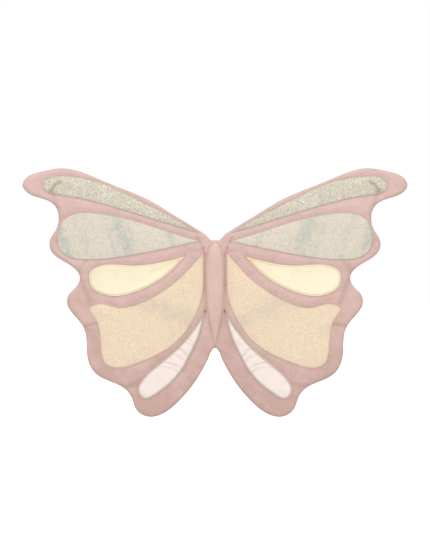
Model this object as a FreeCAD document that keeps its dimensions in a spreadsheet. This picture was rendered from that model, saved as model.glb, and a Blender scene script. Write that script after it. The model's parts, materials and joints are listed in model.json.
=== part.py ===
import FreeCAD
import Part
import os
import Sketcher
from FreeCAD import Placement, Rotation, Vector

# A child's padded dress-up fairy wings: a stuffed leaf-shaped body in the middle, two padded velvet
# wings that fold at the seams beside it, five sewn-on panels on each wing and two elastic shoulder
# loops at the back.
# Millimetres. +X is the right wing seen from the front, +Z up, and the decorated face looks to -Y.
# The origin is on the back face of the spine tape, level with the middle of the stuffed body.

# ---------------------------------------------------------------- the sizes

SIZES = {
    "half_span": (300.0, "middle of the body to a wing tip"),
    "wing_height": (388.0, "highest to lowest point of a wing"),
    "body_width": (27.0, "stuffed body, seam to seam"),
    "seam_margin": (2.0, "side of the body to the fold seam"),
    "fold_gap": (0.5, "each side's edge to the fold seam"),
    "notch_flat": (7.5, "half of the level stretch in the top notch"),
    "fold_relief": (2.1, "what the centre's inner layers stop short of the fold seam"),
    "velvet": (1.2, "velvet with its pile"),
    "wadding": (4.0, "quilt wadding"),
    "lining": (1.0, "back cloth"),
    "panel_cloth": (0.6, "glitter cloth, foil cloth and satin"),
    "tape": (1.0, "spine tape thickness"),
    "turned_edge": (5.0, "turned-in seam round each wing"),
    "wire_size": (1.6, "edge wire, across its flats"),
    "wire_clearance": (0.9, "each side of the edge wire"),
    "filling_clearance": (0.15, "filling to the inside of its cover"),
    "tip_allowance": (6.0, "seam bulk in each end of the body cover"),
    "strap_width": (8.0, "shoulder elastic"),
    "strap_thickness": (1.2, "shoulder elastic"),
    "strap_reach": (110.0, "back face to the far side of a loop"),
    "strap_spacing": (102.0, "upper to lower end of a loop"),
    "strap_drop": (8.0, "top notch to the upper end of a loop"),
    "strap_margin": (0.6, "fold seam to the edge of the elastic"),
    "strap_splay": (15.0, "degrees that a loop stands outwards"),
    "strap_clearance": (0.8, "tack to the end of the elastic"),
    "neck_width": (0.8, "elastic where it is gathered into its tack"),
    "neck_length": (4.5, "gathered stretch of the elastic"),
    "tape_margin": (1.5, "edge of the elastic to the edge of the tape"),
    "tape_end": (5.0, "notch to the end of the tape"),
    "tack_width": (1.2, "bar tack"),
    "tack_length": (6.0, "bar tack"),
    "tack_height": (0.4, "bar tack, above the cloth"),
}

doc = FreeCAD.newDocument("fairy_wings")
sheet = doc.addObject("Spreadsheet::Sheet", "Sizes")
for row, (alias, (value, meaning)) in enumerate(SIZES.items(), start=1):
    sheet.set(f"A{row}", str(value))
    sheet.setAlias(f"A{row}", alias)
    sheet.set(f"B{row}", meaning)
doc.recompute()

FOLD = "(Sizes.body_width / 2 + Sizes.seam_margin)"
WING_START = f"({FOLD} + Sizes.fold_gap)"
STRAP_X = f"({FOLD} - Sizes.strap_margin - Sizes.strap_width / 2)"
TAPE_HALF = f"({STRAP_X} - Sizes.strap_width / 2 - Sizes.tape_margin)"

# Depths behind the origin plane, towards the front: where each layer begins.
LINING_BACK = "Sizes.tape"
WADDING_BACK = f"({LINING_BACK} + Sizes.lining)"
VELVET_BACK = f"({WADDING_BACK} + Sizes.wadding)"
VELVET_FACE = f"({VELVET_BACK} + Sizes.velvet)"

# ---------------------------------------------------------------- the paper pattern
# Each outline is a spline through hand-set points of one paper pattern, drawn for a wing that
# reaches 284 mm out from its seam and stands 388 mm high. x is measured from the seam and z from
# the middle of the body, and the sheet stretches both.

PATTERN_REACH = 284.0
PATTERN_HEIGHT = 388.0

NOTCH_TOP = 84.0
NOTCH_BOTTOM = -83.0
SEAM_TOP = 94.0
SEAM_BOTTOM = -111.0

WING = [
    (0, SEAM_TOP), (27, 111), (52, 126), (83, 145), (121, 162), (155, 175.5), (189, 189.5), (221, 196.5),
    (255, 191), (277, 182), (283.5, 170), (276, 158.5), (252, 149), (233, 138), (227, 119), (232, 100),
    (241, 84), (240, 70), (225, 55), (203, 41), (194.5, 29), (200, 12), (212, -1), (213.5, -16),
    (202, -34), (188, -53), (184, -76), (182, -101), (171, -122), (146, -136), (123, -148), (114, -160.5),
    (106, -180), (87, -190.5), (68, -187), (39, -165), (17, -139), (0, SEAM_BOTTOM),
]  # fmt: skip

PANELS = {
    "silver_glitter_panel": [
        (10, 96), (52, 121.5), (115, 153), (169, 176.5), (219, 184.5), (244.5, 180.5), (252.5, 171.5),
        (247, 160), (230, 155), (148, 137.5), (56, 109.5), (10, 96),
    ],
    "iridescent_glitter_panel": [
        (6, 83), (56, 98), (115, 116.5), (173, 127), (203, 125.5), (222, 114), (228.5, 95), (228, 76),
        (215.5, 60.5), (186, 54), (106.5, 62), (56, 72), (6, 83),
    ],
    "gold_foil_panel": [
        (31, 59.5), (57, 52.5), (112, 45), (166, 43.5), (178, 35.5), (180, 23), (174, 9), (160, 1),
        (143, -2.5), (120, 0), (94, 9.5), (70, 22.5), (50, 38.5), (31, 59.5),
    ],
    "champagne_glitter_panel": [
        (1.5, 65), (15, 50.5), (32, 32), (54, 13), (81, -4.5), (98, -12.5), (135, -20.5), (166, -15),
        (179, -22), (172, -35.5), (164.5, -53), (161.5, -84), (154, -108), (134, -114.5), (109, -108.5),
        (77, -95.5), (41, -71), (23.5, -48.5), (13.5, -31), (3.5, 0), (1.5, 30), (1.5, 65),
    ],
    "pink_satin_panel": [
        (1.5, -27.5), (19, -55.5), (33.5, -73.5), (51, -91), (74, -110), (97, -131.5), (104, -146),
        (99.5, -159), (91, -162.5), (78, -157), (54, -139), (34, -116), (23, -96), (9, -66), (1.5, -27.5),
    ],
}  # fmt: skip

# Half of the stuffed body seen from the front: pointed arch at the top, fullest a little above the middle,
# long pointed tail. x is a share of half its width and z of half its length.
LEAF = [
    (0, 1.0), (0.22, 0.985), (0.42, 0.91), (0.7, 0.83), (0.93, 0.67), (1.02, 0.34), (0.96, 0.0),
    (0.84, -0.33), (0.6, -0.52), (0.33, -0.72), (0, -1.0),
]  # fmt: skip

# The shoulder loop seen from the side, in mm at its drawn size: y out from the back and z from the
# middle of its two ends. The elastic hangs a little fuller below than above.
LOOP_REACH = 110.0
LOOP_SPACING = 102.0
LOOP = [
    (0, 51), (21, 62), (55, 68), (90, 50), (109.4, 12), (103, -30), (78, -60), (43, -69), (16, -61), (0, -51),
]  # fmt: skip

# The leading edge that the wire keeps: everything of its ring below this line is cut away.
WIRE_CUT = [(-20, 78), (84, 118), (200, 166), (310, 166), (310, -230), (-20, -230)]


def across(x):
    """Distance of a pattern point from the middle of the body."""
    return f"({WING_START} + (Sizes.half_span - {WING_START}) * {x / PATTERN_REACH:.7f})"


def up(z):
    """Height of a pattern point above the middle of the body."""
    return f"(Sizes.wing_height * {z / PATTERN_HEIGHT:.7f})"


# ---------------------------------------------------------------- sketching


def new_body(node, depth="0 * Sizes.tape"):
    """An empty body for one sub-part, whose origin plane stands at a depth towards the front."""
    body = doc.addObject("PartDesign::Body", node)
    body.Label = node
    body.setExpression(".Placement.Base.y", f"-1 * {depth}")
    return body


def new_sketch(body, name, role="XZ_Plane"):
    """A sketch lying on one of the body's own origin planes."""
    sketch = body.newObject("Sketcher::SketchObject", name)
    plane = [feature for feature in body.Origin.OriginFeatures if feature.Role == role][0]
    sketch.AttachmentSupport = [(plane, "")]
    sketch.MapMode = "FlatFace"
    return sketch


def hold(sketch, element, point, across_size, up_size):
    """Pins one point of a sketch to two sizes of the sheet."""
    for kind, size in (("DistanceX", across_size), ("DistanceY", up_size)):
        number = sketch.addConstraint(Sketcher.Constraint(kind, -1, 1, element, point, 1.0))
        sketch.setExpression(f"Constraints[{number}]", size)


def add_polygon(sketch, corners):
    """A closed run of straight lines through corners given as pairs of sizes."""
    count = len(corners)
    lines = []
    for n in range(count):
        angle = Vector(count - n, n * n + 1, 0)
        further = Vector(count - n - 1, (n + 1) * (n + 1) + 1, 0)
        lines.append(sketch.addGeometry(Part.LineSegment(angle, further), False))
    for n, line in enumerate(lines):
        sketch.addConstraint(Sketcher.Constraint("Coincident", line, 2, lines[(n + 1) % count], 1))
    for line, (across_size, up_size) in zip(lines, corners):
        hold(sketch, line, 1, across_size, up_size)


def add_spline(sketch, points, place, inset="", flip=1):
    """A spline through drawn points.

    Each pole is pinned to the two sizes that place() gives for it, moved to the right of the
    direction of travel by the inset size. flip is -1 where x is mirrored.
    """
    curve = Part.BSplineCurve()
    curve.interpolate(Points=[Vector(x, z, 0) for x, z in points])
    poles = curve.getPoles()
    right = []
    for pole in poles:
        along = curve.tangent(curve.parameter(pole))[0]
        right.append((along.y, -along.x))
    curve = curve.copy()
    for number, pole in enumerate(poles, start=1):
        curve.setPole(number, Vector(flip * pole.x, pole.y, 0))
    spline = sketch.addGeometry(curve, False)
    marks = sketch.addGeometry([Part.Circle(pole, Vector(0, 0, 1), 1.0) for pole in poles], True)
    for number, mark in enumerate(marks):
        role = "InternalAlignment:Sketcher::BSplineControlPoint"
        sketch.addConstraint(Sketcher.Constraint(role, mark, 3, spline, number))
        sketch.addConstraint(Sketcher.Constraint("Weight", mark, 1.0))
    for mark, pole, (off_x, off_z) in zip(marks, poles, right):
        across_size, up_size = place(pole.x, pole.y)
        if inset:
            across_size = f"({across_size} + {inset} * {off_x:.7f})"
            up_size = f"({up_size} + {inset} * {off_z:.7f})"
        hold(sketch, mark, 3, f"{flip} * {across_size}", up_size)
    return spline


def pattern_place(x, z):
    return across(x), up(z)


def wing_outline(body, name, side, inset=""):
    """The wing's outline, closed along its seam, at an inset from the cut edge."""
    sketch = new_sketch(body, name)
    spline = add_spline(sketch, WING, pattern_place, inset, side)
    seam = sketch.addGeometry(Part.LineSegment(Vector(side, -1, 0), Vector(side, 1, 0)), False)
    sketch.addConstraint(Sketcher.Constraint("Coincident", seam, 1, spline, 2))
    sketch.addConstraint(Sketcher.Constraint("Coincident", seam, 2, spline, 1))
    return sketch


def pad(body, sketch, length, midplane=False):
    feature = body.newObject("PartDesign::Pad", sketch.Name + "_pad")
    feature.Profile = sketch
    feature.Midplane = midplane
    feature.setExpression("Length", length)
    return feature


def pocket(body, sketch, length, midplane=False):
    """A cut towards the front from the sketch's plane, or to both sides of it."""
    feature = body.newObject("PartDesign::Pocket", sketch.Name + "_pocket")
    feature.Profile = sketch
    feature.Reversed = True
    feature.Midplane = midplane
    feature.setExpression("Length", length)
    return feature


# ---------------------------------------------------------------- the wings


def wing_front_velvet(side, label):
    """The velvet face with its edge turned back, which makes a shallow tray for the wadding."""
    body = new_body(f"{label}_wing_front_velvet", WADDING_BACK)
    pad(body, wing_outline(body, f"{label}_cut_edge", side), "Sizes.wadding + Sizes.velvet")
    inner = wing_outline(body, f"{label}_turned_edge", side, "Sizes.turned_edge")
    pocket(body, inner, "Sizes.wadding")
    return body


def wing_back_lining(side, label):
    """The plain cloth that closes the back of the wing."""
    body = new_body(f"{label}_wing_back_lining", LINING_BACK)
    pad(body, wing_outline(body, f"{label}_lining_edge", side), "Sizes.lining")
    return body


def wing_wadding(side, label):
    """The quilt wadding, which leaves a channel for the edge wire all round."""
    body = new_body(f"{label}_wing_wadding", WADDING_BACK)
    channel = "(Sizes.turned_edge + Sizes.wire_size + 2 * Sizes.wire_clearance)"
    pad(body, wing_outline(body, f"{label}_wadding_edge", side, channel), "Sizes.wadding")
    return body


def wing_edge_wire(side, label):
    """The soft flat wire that holds out the leading edge, from the seam round the wing's tip."""
    middle = f"({WADDING_BACK} + (Sizes.wadding - Sizes.wire_size) / 2)"
    body = new_body(f"{label}_wing_edge_wire", middle)
    outer = "(Sizes.turned_edge + Sizes.wire_clearance)"
    inner = "(Sizes.turned_edge + Sizes.wire_clearance + Sizes.wire_size)"
    pad(body, wing_outline(body, f"{label}_wire_outside", side, outer), "Sizes.wire_size")
    pocket(body, wing_outline(body, f"{label}_wire_inside", side, inner), "Sizes.wire_size")
    rest = new_sketch(body, f"{label}_wire_cut")
    add_polygon(rest, [(f"{side} * {across(x)}", up(z)) for x, z in WIRE_CUT])
    pocket(body, rest, "Sizes.wire_size")
    return body


def panel(side, label, name, points):
    """One sewn-on panel, flat on the velvet."""
    body = new_body(f"{label}_{name}", VELVET_FACE)
    sketch = new_sketch(body, f"{label}_{name}_outline")
    add_spline(sketch, points, pattern_place, flip=side)
    pad(body, sketch, "Sizes.panel_cloth")
    return body


# ---------------------------------------------------------------- the centre


def centre_strip(node, depth, thickness, short):
    """One layer of the notched strip between the two fold seams, stopping short of them."""
    body = new_body(node, depth)
    edge = f"({FOLD} - {short})"
    half = [("Sizes.notch_flat", up(NOTCH_TOP)), (edge, up(SEAM_TOP)), (edge, up(SEAM_BOTTOM))]
    corners = half + [("0 * Sizes.tape", up(NOTCH_BOTTOM))]
    corners += [(f"-1 * {out}", level) for out, level in reversed(half)]
    sketch = new_sketch(body, f"{node}_outline")
    add_polygon(sketch, corners)
    pad(body, sketch, thickness)
    return body


def spine_tape():
    """The woven tape down the middle of the back, between the two loops."""
    body = new_body("spine_tape")
    high = f"({up(NOTCH_TOP)} - Sizes.tape_end)"
    low = f"({up(NOTCH_BOTTOM)} + Sizes.tape_end)"
    sketch = new_sketch(body, "spine_tape_outline")
    corners = [(-1, low), (-1, high), (1, high), (1, low)]
    add_polygon(sketch, [(f"{side} * {TAPE_HALF}", level) for side, level in corners])
    pad(body, sketch, "Sizes.tape")
    return body


def leaf(body, name, shrink, tip, cut=False):
    """Half a turn of the body's outline about its long axis, or the same shape cut out."""
    half_width = f"(Sizes.body_width / 2 - {shrink})"
    half_length = f"({up((NOTCH_TOP - NOTCH_BOTTOM) / 2)} - {tip})"
    middle = up((NOTCH_TOP + NOTCH_BOTTOM) / 2)

    def place(x, z):
        return f"({half_width} * {x:.7f})", f"({middle} + {half_length} * {z:.7f})"

    sketch = new_sketch(body, name)
    spline = add_spline(sketch, LEAF, place)
    axis = sketch.addGeometry(Part.LineSegment(Vector(0, -1, 0), Vector(0, 1, 0)), False)
    sketch.addConstraint(Sketcher.Constraint("Coincident", axis, 1, spline, 2))
    sketch.addConstraint(Sketcher.Constraint("Coincident", axis, 2, spline, 1))
    kind = "PartDesign::Groove" if cut else "PartDesign::Revolution"
    turn = body.newObject(kind, name + "_turn")
    turn.Profile = sketch
    turn.ReferenceAxis = (sketch, ["V_Axis"])
    turn.Angle = 180.0
    turn.Reversed = True
    return turn


def body_cover():
    """The velvet of the stuffed body."""
    body = new_body("body_cover", VELVET_FACE)
    leaf(body, "cover_outside", "0 * Sizes.velvet", "0 * Sizes.velvet")
    leaf(body, "cover_inside", "Sizes.velvet", "Sizes.tip_allowance", cut=True)
    return body


def body_filling():
    """The fibre filling of the stuffed body."""
    body = new_body("body_filling", VELVET_FACE)
    gap = "Sizes.filling_clearance"
    leaf(body, "filling_outside", f"(Sizes.velvet + {gap})", f"(Sizes.tip_allowance + 4 * {gap})")
    return body


STRAP_TOP = f"({up(NOTCH_TOP)} - Sizes.strap_drop)"
STRAP_BOTTOM = f"({STRAP_TOP} - Sizes.strap_spacing)"


def bars(node, depth, middle, half_width, half_height, rise):
    """Four sewn bars, one on each side at each end of the loops."""
    bodies = []
    for side in (-1, 1):
        for level in (STRAP_TOP, STRAP_BOTTOM):
            box = doc.addObject("Part::Box", node + "_bar")
            box.setExpression("Length", f"2 * {half_width}")
            box.setExpression("Width", rise)
            box.setExpression("Height", f"2 * {half_height}")
            box.setExpression(".Placement.Base.x", f"{side} * {middle} - {half_width}")
            box.setExpression(".Placement.Base.y", depth)
            box.setExpression(".Placement.Base.z", f"{level} - {half_height}")
            bodies.append(box)
    group = doc.addObject("Part::Compound", node)
    group.Label = node
    group.Links = bodies
    return group


def front_tacks():
    """The bar tacks that show on the velvet beside the body."""
    middle = f"(Sizes.body_width / 2 + (Sizes.seam_margin - Sizes.fold_gap) / 2)"
    depth = f"-1 * ({VELVET_FACE} + Sizes.tack_height)"
    half_width = "(Sizes.tack_width / 2)"
    half_height = "(Sizes.tack_length / 2)"
    return bars("front_tacks", depth, middle, half_width, half_height, "Sizes.tack_height")


def back_tacks():
    """The bar tacks across the ends of the elastic at the back."""
    half_width = "(Sizes.tack_length / 2)"
    half_height = "(Sizes.tack_width / 2)"
    return bars("back_tacks", f"-1 * {LINING_BACK}", STRAP_X, half_width, half_height, "Sizes.tack_height")


# ---------------------------------------------------------------- the shoulder loops


def gather_ends(body, label):
    """Narrows both ends of the elastic evenly down to their tacks."""
    neck = "Sizes.neck_width / 2"
    edge = "Sizes.strap_width / 2"
    beyond = f"({edge} + Sizes.strap_thickness)"
    start = "-1 * Sizes.strap_clearance"
    corners = [(neck, start), (neck, "0 * Sizes.neck_width"), (edge, "Sizes.neck_length")]
    corners += [(beyond, "Sizes.neck_length"), (beyond, start)]
    for half in (-1, 1):
        sketch = new_sketch(body, f"{label}_gather_{'in' if half < 0 else 'out'}", "XY_Plane")
        add_polygon(sketch, [(f"{half} * {out}", back) for out, back in corners])
        pocket(body, sketch, "3 * Sizes.strap_spacing", midplane=True)


def shoulder_strap(side, label):
    """A loop of flat elastic, as wide as its band along X, gathered at both of its ends."""
    body = new_body(f"{label}_shoulder_strap")
    body.setExpression(".Placement.Base.x", f"{side} * {STRAP_X}")
    body.setExpression(".Placement.Base.y", "Sizes.tack_height + Sizes.strap_clearance - Sizes.tape")
    body.setExpression(".Placement.Base.z", f"{STRAP_TOP} - Sizes.strap_spacing / 2")
    body.setExpression(".Placement.Rotation.Angle", "Sizes.strap_splay")
    body.Placement = Placement(body.Placement.Base, Rotation(Vector(0, 0, -side), 1.0))

    def place(y, z):
        out = f"(Sizes.strap_reach * {y / LOOP_REACH:.7f})"
        return out, f"(Sizes.strap_spacing * {z / LOOP_SPACING:.7f})"

    sketch = new_sketch(body, f"{label}_loop", "YZ_Plane")
    inner = add_spline(sketch, LOOP, place, "Sizes.strap_thickness / 2")
    outer = add_spline(sketch, LOOP, place, "-1 * Sizes.strap_thickness / 2")
    for end in (1, 2):
        line = sketch.addGeometry(Part.LineSegment(Vector(0, end, 0), Vector(1, end, 0)), False)
        sketch.addConstraint(Sketcher.Constraint("Coincident", line, 1, inner, end))
        sketch.addConstraint(Sketcher.Constraint("Coincident", line, 2, outer, end))
    pad(body, sketch, "Sizes.strap_width", midplane=True)
    gather_ends(body, label)
    return body


# ---------------------------------------------------------------- build, check and write

parts = [
    body_cover(),
    body_filling(),
    centre_strip("centre_front_velvet", VELVET_BACK, "Sizes.velvet", "Sizes.fold_gap"),
    centre_strip("centre_wadding", WADDING_BACK, "Sizes.wadding", "Sizes.fold_relief"),
    centre_strip("centre_back_lining", LINING_BACK, "Sizes.lining", "Sizes.fold_relief"),
    spine_tape(),
    front_tacks(),
    back_tacks(),
]
for side, label in ((-1, "left"), (1, "right")):
    parts += [
        wing_front_velvet(side, label),
        wing_wadding(side, label),
        wing_back_lining(side, label),
        wing_edge_wire(side, label),
        shoulder_strap(side, label),
    ]
    parts += [panel(side, label, name, points) for name, points in PANELS.items()]

doc.recompute()

failed = [item.Name for item in doc.Objects if set(item.State) & {"Invalid", "Error"}]
if failed:
    raise RuntimeError(f"these objects did not build: {failed}")
for part in parts:
    if part.Shape.isNull() or not part.Shape.isValid() or part.Shape.Volume <= 0:
        raise RuntimeError(f"{part.Label} is not a sound solid")

os.makedirs("parts", exist_ok=True)
for part in parts:
    part.Shape.exportStep(f"parts/{part.Label}.step")
    box = part.Shape.BoundBox
    size = f"{box.XLength:.1f} x {box.YLength:.1f} x {box.ZLength:.1f}"
    print(f"{part.Label}: {size} mm, {part.Shape.Volume / 1000:.2f} cm3, {len(part.Shape.Solids)} solid(s)")
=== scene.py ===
import json
import math

import bpy
import numpy as np
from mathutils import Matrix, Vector

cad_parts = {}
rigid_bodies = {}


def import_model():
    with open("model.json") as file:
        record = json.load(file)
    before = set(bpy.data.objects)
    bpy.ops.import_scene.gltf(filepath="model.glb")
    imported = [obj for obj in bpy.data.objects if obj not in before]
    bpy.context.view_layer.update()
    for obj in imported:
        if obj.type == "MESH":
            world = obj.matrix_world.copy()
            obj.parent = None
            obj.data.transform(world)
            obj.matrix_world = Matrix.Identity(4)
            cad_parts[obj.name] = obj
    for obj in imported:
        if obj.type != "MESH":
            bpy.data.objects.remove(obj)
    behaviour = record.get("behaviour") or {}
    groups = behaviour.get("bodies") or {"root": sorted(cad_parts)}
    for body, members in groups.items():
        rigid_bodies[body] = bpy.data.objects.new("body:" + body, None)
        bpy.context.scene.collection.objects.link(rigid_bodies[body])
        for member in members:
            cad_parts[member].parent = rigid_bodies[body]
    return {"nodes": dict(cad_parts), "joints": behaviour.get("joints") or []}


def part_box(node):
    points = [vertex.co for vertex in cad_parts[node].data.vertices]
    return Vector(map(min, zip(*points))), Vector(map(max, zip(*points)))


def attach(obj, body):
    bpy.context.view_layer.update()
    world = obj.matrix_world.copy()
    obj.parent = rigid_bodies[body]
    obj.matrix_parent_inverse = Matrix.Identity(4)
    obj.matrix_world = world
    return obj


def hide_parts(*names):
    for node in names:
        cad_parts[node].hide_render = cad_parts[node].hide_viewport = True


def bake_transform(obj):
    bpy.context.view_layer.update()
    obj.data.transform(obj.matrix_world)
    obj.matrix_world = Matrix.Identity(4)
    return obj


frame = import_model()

# Fairy wings: two quilted velvet wings with sewn-on panels, a stuffed body between them and elastic
# arm loops behind. Lengths are metres. The front faces -Y, and every shape of the right side is
# worked out once and mirrored for the left.

MM = 0.001
SIDES = {"left": -1.0, "right": 1.0}

for name in {"Cube", "Light", "Camera"} & set(bpy.data.objects.keys()):
    bpy.data.objects.remove(bpy.data.objects[name])
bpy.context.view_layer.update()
joints = {joint["name"]: joint for joint in frame["joints"]}

FOLD_X = abs(joints["right_wing_fold"]["pos_m"][0])
FACE_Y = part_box("centre_front_velvet")[0].y
BACK_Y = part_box("centre_back_lining")[1].y
SEAM_Y = 0.5 * (FACE_Y + BACK_Y)
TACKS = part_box("front_tacks")
TACK_LENGTH = 6 * MM
CORNER_REACH = 4 * MM
SMOOTH_ANGLE = math.radians(48)
UPPER_TACK_Z = TACKS[1].z - TACK_LENGTH / 2
LOWER_TACK_Z = TACKS[0].z + TACK_LENGTH / 2

# ---------------------------------------------------------------- curves and outlines


def along(points):
    """Distance walked from the first point of a polyline to each of its points."""
    steps = np.linalg.norm(np.diff(points, axis=0), axis=1)
    return np.concatenate([[0.0], np.cumsum(steps)])


def at(points, distances):
    """The places at given distances along a polyline."""
    walked = along(points)
    return np.stack([np.interp(distances, walked, axis) for axis in points.T], axis=-1)


def spaced(points, shares):
    """The places at given shares of a polyline's length."""
    return at(points, np.asarray(shares) * along(points)[-1])


def smooth(points, count):
    """A natural cubic spline through points, with equal steps of its chord length."""
    points = np.asarray(points, float)
    knots = along(points)
    gap = np.diff(knots)
    size = len(points)
    matrix = np.eye(size)
    middle = np.arange(1, size - 1)
    matrix[middle, middle - 1] = gap[:-1]
    matrix[middle, middle] = 2 * (gap[:-1] + gap[1:])
    matrix[middle, middle + 1] = gap[1:]
    slope = np.diff(points, axis=0) / gap[:, None]
    right = np.zeros_like(points)
    right[1:-1] = 6 * np.diff(slope, axis=0)
    bend = np.linalg.solve(matrix, right)
    t = np.linspace(0, knots[-1], count)
    piece = np.clip(np.searchsorted(knots, t, side="right") - 1, 0, size - 2)
    h = gap[piece][:, None]
    a = (knots[piece + 1] - t)[:, None]
    b = (t - knots[piece])[:, None]
    low, high = points[piece], points[piece + 1]
    m, n = bend[piece], bend[piece + 1]
    return (m * a**3 + n * b**3) / (6 * h) + (low / h - m * h / 6) * a + (high / h - n * h / 6) * b


def edge_loop(node):
    """The front edge of a flat CAD node, in order, as (x, z).

    It is made of the edges that belong to only one triangle of the node's foremost face.
    """
    mesh = frame["nodes"][node].data
    places = np.empty(len(mesh.vertices) * 3)
    mesh.vertices.foreach_get("co", places)
    mesh.calc_loop_triangles()
    corners = np.empty(len(mesh.loop_triangles) * 3, int)
    mesh.loop_triangles.foreach_get("vertices", corners)
    spots, same = np.unique(places.reshape(-1, 3).round(5), axis=0, return_inverse=True)
    triangles = same.ravel()[corners].reshape(-1, 3)
    foremost = (spots[triangles, 1] < spots[:, 1].min() + 2e-5).all(axis=1)
    edges = np.sort(triangles[foremost][:, [0, 1, 1, 2, 2, 0]].reshape(-1, 2), axis=1)
    edges, uses = np.unique(edges, axis=0, return_counts=True)
    neighbours = {}
    for a, b in edges[uses == 1].tolist():
        neighbours.setdefault(a, []).append(b)
        neighbours.setdefault(b, []).append(a)
    walk = [int(edges[uses == 1][0, 0])]
    walk.append(neighbours[walk[0]][0])
    while walk[-1] != walk[0]:
        walk.append(next(n for n in neighbours[walk[-1]] if n != walk[-2]))
    loop = spots[walk][:, [0, 2]]
    area = np.sum(loop[:-1, 0] * loop[1:, 1] - loop[1:, 0] * loop[:-1, 1])
    return loop[::-1] if area > 0 else loop


def bell(away, width):
    """1 where nothing lies between, falling off with the square of the distance."""
    return np.exp(-((away / width) ** 2))


def rise(value, start, width):
    """0 up to a start, then evenly up to 1 over a width."""
    return np.clip((value - start) / width, 0, 1)


def round_over(away, width):
    """A quarter ellipse from 0 at an edge up to 1 at a width from it."""
    return np.sqrt(1 - (1 - np.clip(away / width, 0, 1)) ** 2)


def turned_to(loop, start):
    """The same closed loop, starting and ending at another of its points."""
    return np.concatenate([loop[start:-1], loop[: start + 1]])


def distance(points, line):
    """Distance from each point to a polyline: to the nearest place on each of its segments."""
    start, step = line[:-1], np.diff(line, axis=0)
    length = np.maximum((step**2).sum(axis=1), 1e-16)
    nearest = []
    for block in np.array_split(points, max(1, len(points) // 4000)):
        away = block[:, None] - start
        share = np.clip((away * step).sum(axis=2) / length, 0, 1)
        gap = away - share[..., None] * step
        nearest.append(np.sqrt((gap**2).sum(axis=2)).min(axis=1))
    return np.concatenate(nearest)


def sides_of(loop):
    """A leaf-shaped loop cut at its sharpest corner and at the point furthest from it."""
    length = along(loop)[-1]
    here = along(loop)[:-1]
    before = loop[:-1] - at(loop, (here - CORNER_REACH) % length)
    after = at(loop, (here + CORNER_REACH) % length) - loop[:-1]
    turn = (before * after).sum(axis=1)
    turn = turn / np.linalg.norm(before, axis=1) / np.linalg.norm(after, axis=1)
    loop = turned_to(loop, int(turn.argmin()))
    far = int(np.linalg.norm(loop - loop[0], axis=1).argmax())
    return loop[: far + 1], loop[far:][::-1]


# ---------------------------------------------------------------- meshes


def new_piece(name, places, faces, material, uv=None, marks=None):
    """A mesh object at the origin from places and quads, with a value of each mark per place."""
    mesh = bpy.data.meshes.new(name)
    mesh.vertices.add(len(places))
    mesh.vertices.foreach_set("co", np.ascontiguousarray(places, np.float32).ravel())
    mesh.loops.add(faces.size)
    mesh.loops.foreach_set("vertex_index", faces.ravel().astype(np.int32))
    mesh.polygons.add(len(faces))
    mesh.polygons.foreach_set("loop_start", np.arange(0, faces.size, 4, dtype=np.int32))
    mesh.update(calc_edges=True)
    if uv is not None:
        layer = mesh.uv_layers.new(name="UVMap")
        layer.data.foreach_set("uv", uv[faces.ravel()].astype(np.float32).ravel())
    for mark, values in (marks or {}).items():
        layer = mesh.attributes.new(mark, "FLOAT", "POINT")
        layer.data.foreach_set("value", values.astype(np.float32))
    mesh.validate()
    mesh.shade_smooth()
    mesh.set_sharp_from_angle(angle=SMOOTH_ANGLE)
    mesh.materials.append(material)
    piece = bpy.data.objects.new(name, mesh)
    bpy.context.scene.collection.objects.link(piece)
    return piece


def outwards(places, faces):
    """The faces turned so that the volume they enclose is positive."""
    a, b, c, d = (places[faces[:, n]] for n in range(4))
    volume = (a * (np.cross(b, c) + np.cross(c, d))).sum()
    return faces if volume > 0 else faces[:, ::-1]


def grid_shares(rows, columns, start=0.0):
    """Shares down and across a grid, each from a start to 1."""
    down, across = np.linspace(start, 1, rows), np.linspace(start, 1, columns)
    return np.meshgrid(down, across, indexing="ij")


def grid_uv(rows, columns):
    v, u = grid_shares(rows, columns)
    return np.stack([u, v], axis=-1).reshape(-1, 2)


def shell(name, outer, inner, material, marks=None):
    """A closed sheet between two grids of the same shape, walled along their four edges.

    Its UV map is the share across and the share along the grid.
    """
    rows, columns = outer.shape[:2]
    cell = np.arange(rows * columns).reshape(rows, columns)
    rim = np.concatenate([cell[0, :-1], cell[:-1, -1], cell[-1, :0:-1], cell[:0:-1, 0]])
    further = np.roll(rim, -1)
    count = rows * columns
    walls = np.stack([further, rim, rim + count, further + count], axis=-1)
    corners = [cell[:-1, :-1], cell[:-1, 1:], cell[1:, 1:], cell[1:, :-1]]
    front = np.stack(corners, axis=-1).reshape(-1, 4)
    faces = np.concatenate([front, front[:, ::-1] + count, walls])
    places = np.concatenate([outer.reshape(-1, 3), inner.reshape(-1, 3)])
    uv = np.tile(grid_uv(rows, columns), (2, 1))
    marks = {mark: np.tile(values, 2) for mark, values in (marks or {}).items()}
    return new_piece(name, places, outwards(places, faces), material, uv, marks)


def tube_grid(name, rings, material, marks=None):
    """A closed tube from rings of places, its two ends drawn in to a small flat."""
    count, sides = rings.shape[:2]
    cell = np.arange(count * sides).reshape(count, sides)
    nearby = np.roll(cell, -1, axis=1)
    walls = np.stack([cell[:-1], nearby[:-1], nearby[1:], cell[1:]], axis=-1).reshape(-1, 4)
    k = np.arange(sides // 2 - 1)
    corners = np.stack([k + 1, k, sides - 1 - k, sides - 2 - k], axis=-1)
    ends = [ring[corners] for ring in (cell[0], cell[-1][::-1])]
    places = rings.reshape(-1, 3)
    faces = np.concatenate([walls, *ends])
    uv = grid_uv(count, sides)
    return new_piece(name, places, outwards(places, faces), material, uv, marks)


STITCH_SIDES = 6
STITCH_RINGS = np.array([-1.0, -0.82, -0.4, 0.4, 0.82, 1.0])
STITCH_BOW = 0.6
FINE_THREAD = 0.16 * MM


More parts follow.
